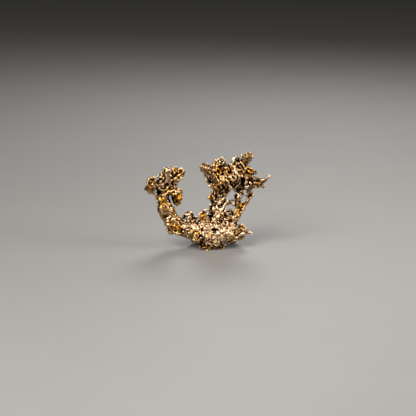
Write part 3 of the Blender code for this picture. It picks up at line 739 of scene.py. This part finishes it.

# Where a film of amber or rust colours the gold, where a shadow is painted on it, where it is yellow, where
# it is pale and pinkish, and where its painted shade is eased and its cream painted highlight strengthened
# and where the reverse, as spots of the front: (across, up, radius).
TINTS = {
    "amber": [
        (-10.4, 24.8, 0.9), (-8.3, 23.8, 0.8), (3.2, 24.7, 1.2), (4.3, 24.0, 1.0), (6.2, 24.8, 0.9),
        (2.0, 19.7, 1.0), (3.4, 18.6, 0.8), (0.5, 15.8, 0.9), (15.5, 20.4, 0.9), (10.6, 13.5, 0.9),
        (-1.4, 10.0, 1.2), (-2.2, 9.2, 0.8), (-10.1, 6.0, 1.3), (-9.7, 15.0, 1.6), (-8.7, 16.3, 0.9),
        (-13.9, 15.0, 1.1), (-0.6, -0.4, 0.9), (1.2, -0.5, 0.8), (10.0, 10.9, 0.7), (0.3, 3.9, 0.6),
        (5.6, 17.8, 0.7), (9.0, 25.8, 0.6), (13.2, 24.0, 0.9), (4.7, 20.4, 0.8), (-17.6, 20.7, 0.7),
        (-3.3, 4.8, 0.7), (11.0, 4.2, 0.6), (-5.0, 5.2, 0.6), (7.8, 2.1, 0.6), (-17.8, 19.5, 0.8),
        (1.5, 17.4, 0.6), (8.9, 11.2, 0.5), (-13.0, 10.1, 0.8), (11.7, 13.8, 0.6), (-10.6, 10.6, 0.7),
        (5.2, 23.7, 0.6),
    ],
    "yellow": [
        (3.6, 23.6, 3.2), (8.6, 23.2, 3.2), (12.8, 24.4, 2.2), (-15.0, 14.6, 1.2), (-10.0, 15.6, 2.0),
        (-10.2, 5.6, 2.6), (2.4, 18.8, 2.0), (10.8, 12.6, 2.0), (-8.6, 23.8, 1.6), (-12.4, 18.4, 1.6),
        (11.0, 5.4, 1.4), (-3.6, 4.4, 1.4),
    ],
    "rust": [
        (-18.8, 20.6, 1.2), (-17.3, 21.3, 0.8), (-18.8, 19.2, 0.9), (-16.6, 20.4, 0.6), (-10.8, 24.6, 0.7),
        (-2.3, 25.6, 0.8), (-7.6, 23.8, 0.6), (-1.5, 26.4, 0.6), (-0.9, 24.8, 0.5), (-17.2, 18.6, 0.8),
        (-14.9, 20.6, 0.6), (10.9, 28.9, 0.6), (-6.7, 6.2, 0.6), (4.6, 4.2, 0.5), (-9.1, 20.2, 0.5),
        (2.6, 27.2, 0.6), (15.3, 24.3, 0.5), (0.4, 2.4, 0.6), (-19.2, 18.5, 0.9), (-18.2, 21.8, 0.7),
    ],
    # Painted shadow: the underside of the root and the hollows of the head are made darker here.
    "painted_shadow": [
        (-1.5, 0.2, 2.4), (3.5, -0.6, 2.6), (7.5, 0.6, 2.2), (-4.6, 1.4, 1.8), (10.8, 19.8, 1.9),
        (9.4, 18.4, 1.4), (6.4, 17.8, 1.3), (2.0, 21.6, 1.4), (-15.5, 17.4, 1.3), (4.6, 18.4, 0.9),
        (-0.4, 21.4, 0.9), (-7.2, 5.0, 1.2), (-15.2, 11.4, 1.1), (-18.6, 19.5, 0.8),
    ],
    # Spots where the painted shade is lighter, the cream painted highlight stronger and the gold a little
    # rougher; in the spots after them the painted shade is heavier and the cream weaker.
    "lighter": [
        (1.0, 6.2, 4.2), (3.2, 3.6, 3.2), (6.6, 6.2, 3.6), (-4.6, 6.6, 2.8), (2.6, 9.4, 2.4),
        (8.8, 24.0, 2.6), (4.6, 13.6, 2.2), (0.6, 22.4, 2.2),
    ],
    "dimmer": [
        (-18.0, 20.4, 3.0), (-9.7, 16.2, 3.0), (12.6, 29.0, 2.6), (-1.0, 25.4, 2.4), (16.8, 21.4, 3.2),
        (-14.2, 13.4, 2.2), (9.6, 14.0, 2.6), (13.6, 23.8, 2.0), (12.4, 16.4, 2.4),
    ],
    "pink": [
        (2.6, 6.0, 4.6), (-5.4, 9.0, 2.8), (5.0, 12.4, 2.8), (12.4, 29.0, 2.2), (-1.0, 25.4, 1.9),
        (-14.4, 21.6, 3.2), (-17.6, 20.8, 1.8), (9.4, 15.6, 1.6), (4.8, 27.8, 1.6), (8.8, 28.2, 1.6),
        (15.6, 21.4, 2.0), (-9.6, 18.2, 1.4),
    ],
}
# Each spot is full at its middle, and fades out at this share of its radius.
SOFT_EDGE = 1.3
tint = {}
for name, spots in TINTS.items():
    tint[name] = np.zeros(len(points))
    for across, up, radius in spots:
        depth = depth_at(outer, across, up)
        reach = np.linalg.norm(points - [across, depth, up - SLANT * depth], axis=1) / radius
        tint[name] = np.maximum(tint[name], np.clip(SOFT_EDGE - reach, 0.0, 1.0))
for name in ("amber", "rust", "painted_shadow"):
    keep_value(name, tint[name])
keep_value("warmth", tint["yellow"] - tint["pink"])
keep_value("lightened", tint["lighter"] - tint["dimmer"])

# The finished mesh goes back to metres.
nugget.data.transform(Matrix.Scale(0.001, 4))
nugget.data.shade_smooth()


class Shade:
    """A socket that can be added, subtracted and multiplied like a number. Each step adds a node."""

    def __init__(self, maker, socket):
        self.maker, self.socket = maker, socket

    def math(self, operation, *others):
        return self.maker.node("ShaderNodeMath", {"operation": operation}, [self, *others])

    def __add__(self, other):
        return self.math("ADD", other)

    def __sub__(self, other):
        return self.math("SUBTRACT", other)

    def __mul__(self, other):
        return self.math("MULTIPLY", other)

    def __rsub__(self, other):
        return self.maker.node("ShaderNodeMath", {"operation": "SUBTRACT"}, [other, self])

    __radd__ = __add__
    __rmul__ = __mul__

    def clamped(self):
        return self.maker.node("ShaderNodeClamp", {}, [self])

    def between(self, low, high):
        """0 at low, 1 at high, with a soft rise."""
        inputs = {"Value": self, "From Min": low, "From Max": high}
        return self.maker.node("ShaderNodeMapRange", {"interpolation_type": "SMOOTHSTEP"}, inputs)


class Finish:
    """A new material and the nodes in it."""

    def __init__(self, name):
        self.material = bpy.data.materials.new(name)
        self.material.use_nodes = True
        self.tree = self.material.node_tree
        self.shader = self.tree.nodes["Principled BSDF"]

    def node(self, kind, settings, inputs=(), output=0):
        """Adds a node: its settings, then its sockets' values or links. Gives back one of its outputs."""
        node = self.tree.nodes.new(kind)
        for key, value in settings.items():
            setattr(node, key, value)
        pairs = inputs.items() if isinstance(inputs, dict) else enumerate(inputs)
        for key, value in pairs:
            self.feed(node.inputs[key], value)
        return Shade(self, node.outputs[output])

    def feed(self, socket, value):
        if isinstance(value, Shade):
            self.tree.links.new(value.socket, socket)
        else:
            socket.default_value = value

    def mixed(self, factor, first, second):
        """One colour over another. The Mix node's sockets for colours share their names with others."""
        factor_at, first_at, second_at, result_at = 0, 6, 7, 2
        inputs = {factor_at: factor, first_at: first, second_at: second}
        return self.node("ShaderNodeMix", {"data_type": "RGBA"}, inputs, result_at)


# Gold that is cream where it is rubbed pale and where a highlight is painted on, pale, yellow, and darkened
# by painted shade down in a pit, then the films, and the near-black of painted shade that lies over it all.
CREAM_GOLD = (0.88, 0.64, 0.41, 1)
PALE_GOLD = (0.43, 0.262, 0.125, 1)
YELLOW_GOLD = (0.47, 0.26, 0.058, 1)
SHADED_GOLD = (0.20, 0.085, 0.018, 1)
AMBER_FILM = (0.50, 0.20, 0.02, 1)
RUST_FILM = (0.20, 0.06, 0.025, 1)
SHADE_BLACK = (0.012, 0.006, 0.003, 1)

gold = Finish("native_gold_skin")
place = gold.node("ShaderNodeTexCoord", {}, output="Object")
groove, shelter, amber, rust, painted_shadow, warmth, lightened = (
    gold.node("ShaderNodeAttribute", {"attribute_name": name}, output="Fac")
    for name in ("groove", "shelter", "amber", "rust", "painted_shadow", "warmth", "lightened")
)
# Three noises, each with the width of its spots in metres, and a fine pattern of cells.
patches, mottle, grain = (
    gold.node("ShaderNodeTexNoise", {}, {"Vector": place, "Scale": 1 / width, "Detail": detail})
    for width, detail in ((0.0045, 2.0), (0.0011, 3.0), (0.0004, 4.0))
)
cells = gold.node("ShaderNodeTexVoronoi", {}, {"Vector": place, "Scale": 1 / 0.00035})

# Painted shade lies where the gold is shut in, in its grooves and at the painted shadow spots. What stands
# out in
# the open is painted pale: partly rubbed gold, partly a painted highlight.
in_shade = shelter + painted_shadow * 0.26 - lightened * 0.18 + (groove - 0.3) * 0.22 + (mottle - 0.5) * 0.7
yellow = (warmth * 0.3 + patches + (mottle - 0.5) * 0.5).between(0.40, 0.62)
colour = gold.mixed(yellow, PALE_GOLD, YELLOW_GOLD)
# Open, outstanding ridges are painted cream: partly rubbed gold, partly a painted highlight.
rubbed_and_highlit = groove * -0.5 - shelter * 1.2 - warmth * 0.25 + lightened * 0.8 + (mottle + grain - 1.0) * 2.0
colour = gold.mixed(rubbed_and_highlit.between(0.0, 0.8), colour, CREAM_GOLD)
colour = gold.mixed((amber + (mottle - 0.5) * 1.0).between(0.15, 0.9), colour, AMBER_FILM)
colour = gold.mixed((rust + (mottle - 0.5) * 1.2).between(0.2, 0.9), colour, RUST_FILM)
# Painted shade: deep brown gold, then near-black, where the gold is shut in.
colour = gold.mixed(in_shade.between(-0.03, 0.27), colour, SHADED_GOLD)
colour = gold.mixed(in_shade.between(0.14, 0.38), colour, SHADE_BLACK)
gold.feed(gold.shader.inputs["Base Color"], colour)
gold.shader.inputs["Metallic"].default_value = 1.0
satin = 0.29 + mottle * 0.18 + lightened.between(0.2, 1.0) * 0.08 + in_shade.between(0.5, 0.9) * 0.3
gold.feed(gold.shader.inputs["Roughness"], satin.clamped())
bumps = cells * 0.4 + grain * 0.8
bump = gold.node("ShaderNodeBump", {}, {"Height": bumps, "Strength": 0.25, "Distance": 0.0001})
gold.feed(gold.shader.inputs["Normal"], bump)

nugget.data.materials.clear()
nugget.data.materials.append(gold.material)
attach(nugget, "root")
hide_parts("nugget")

# ----------------------------------------------------------------------------------------------------------
# The table: a plain pale board, lit by three soft lamps in a dim room. It isn't part of the object. It lies a
# hair under the nugget's feet, so that the two don't share a face.

BOARD_HALF = 1.5
UNDER_FEET = 0.00002

mesh = bmesh.new()
bmesh.ops.create_grid(mesh, x_segments=1, y_segments=1, size=BOARD_HALF)
board = bpy.data.meshes.new("table")
mesh.to_mesh(board)
mesh.free()
table = bpy.data.objects.new("table", board)
table.location.z = -UNDER_FEET
bpy.context.scene.collection.objects.link(table)
pale = Finish("pale_board")
place = pale.node("ShaderNodeTexCoord", {}, output="Object")
mottle = pale.node("ShaderNodeTexNoise", {}, {"Vector": place, "Scale": 40.0, "Detail": 4.0})
colour = pale.mixed(mottle, (0.250, 0.247, 0.243, 1), (0.270, 0.266, 0.262, 1))
pale.feed(pale.shader.inputs["Base Color"], colour)
pale.shader.inputs["Roughness"].default_value = 0.6
table.data.materials.append(pale.material)
table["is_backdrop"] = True

world = bpy.data.worlds.new("room")
bpy.context.scene.world = world
world.use_nodes = True
world.node_tree.nodes["Background"].inputs["Color"].default_value = (0.018, 0.018, 0.019, 1)
bpy.context.scene.view_settings.view_transform = "Standard"


LIT_POINT = Vector((0, 0, 0.014))


def add_lamp(name, at, size, watts, colour):
    """A soft lamp: a square that shines, turned to the nugget's middle."""
    light = bpy.data.lights.new(name, "AREA")
    light.size, light.energy, light.color = size, watts, colour
    lamp = bpy.data.objects.new(name, light)
    lamp.location = at
    lamp.rotation_euler = (LIT_POINT - Vector(at)).to_track_quat("-Z", "Y").to_euler()
    bpy.context.scene.collection.objects.link(lamp)


add_lamp("key", (-0.16, -0.22, 0.26), 0.26, 1.95, (1.0, 0.97, 0.92))
add_lamp("side", (0.28, -0.06, 0.12), 0.14, 0.65, (1.0, 0.96, 0.90))
add_lamp("rim", (0.05, 0.24, 0.22), 0.14, 0.55, (1.0, 0.98, 0.95))

# ----------------------------------------------------------------------------------------------------------
# The camera stands in front and a little above, and looks down a little at the nugget. It isn't part of the
# object either.

ELEVATION = math.radians(14)
DISTANCE = 0.600
LENS = 165
AIM = Vector((0.0001, 0, 0.01246))
camera_data = bpy.data.cameras.new("camera")
camera_data.lens = LENS
camera_data.clip_start = 0.01
camera = bpy.data.objects.new("camera", camera_data)
camera.location = AIM + DISTANCE * Vector((0, -math.cos(ELEVATION), math.sin(ELEVATION)))
camera.rotation_euler = (math.pi / 2 - ELEVATION, 0, 0)
bpy.context.scene.collection.objects.link(camera)
bpy.context.scene.camera = camera

bounds = [[list(corner) for corner in box] for box in (cad_bounds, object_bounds())]
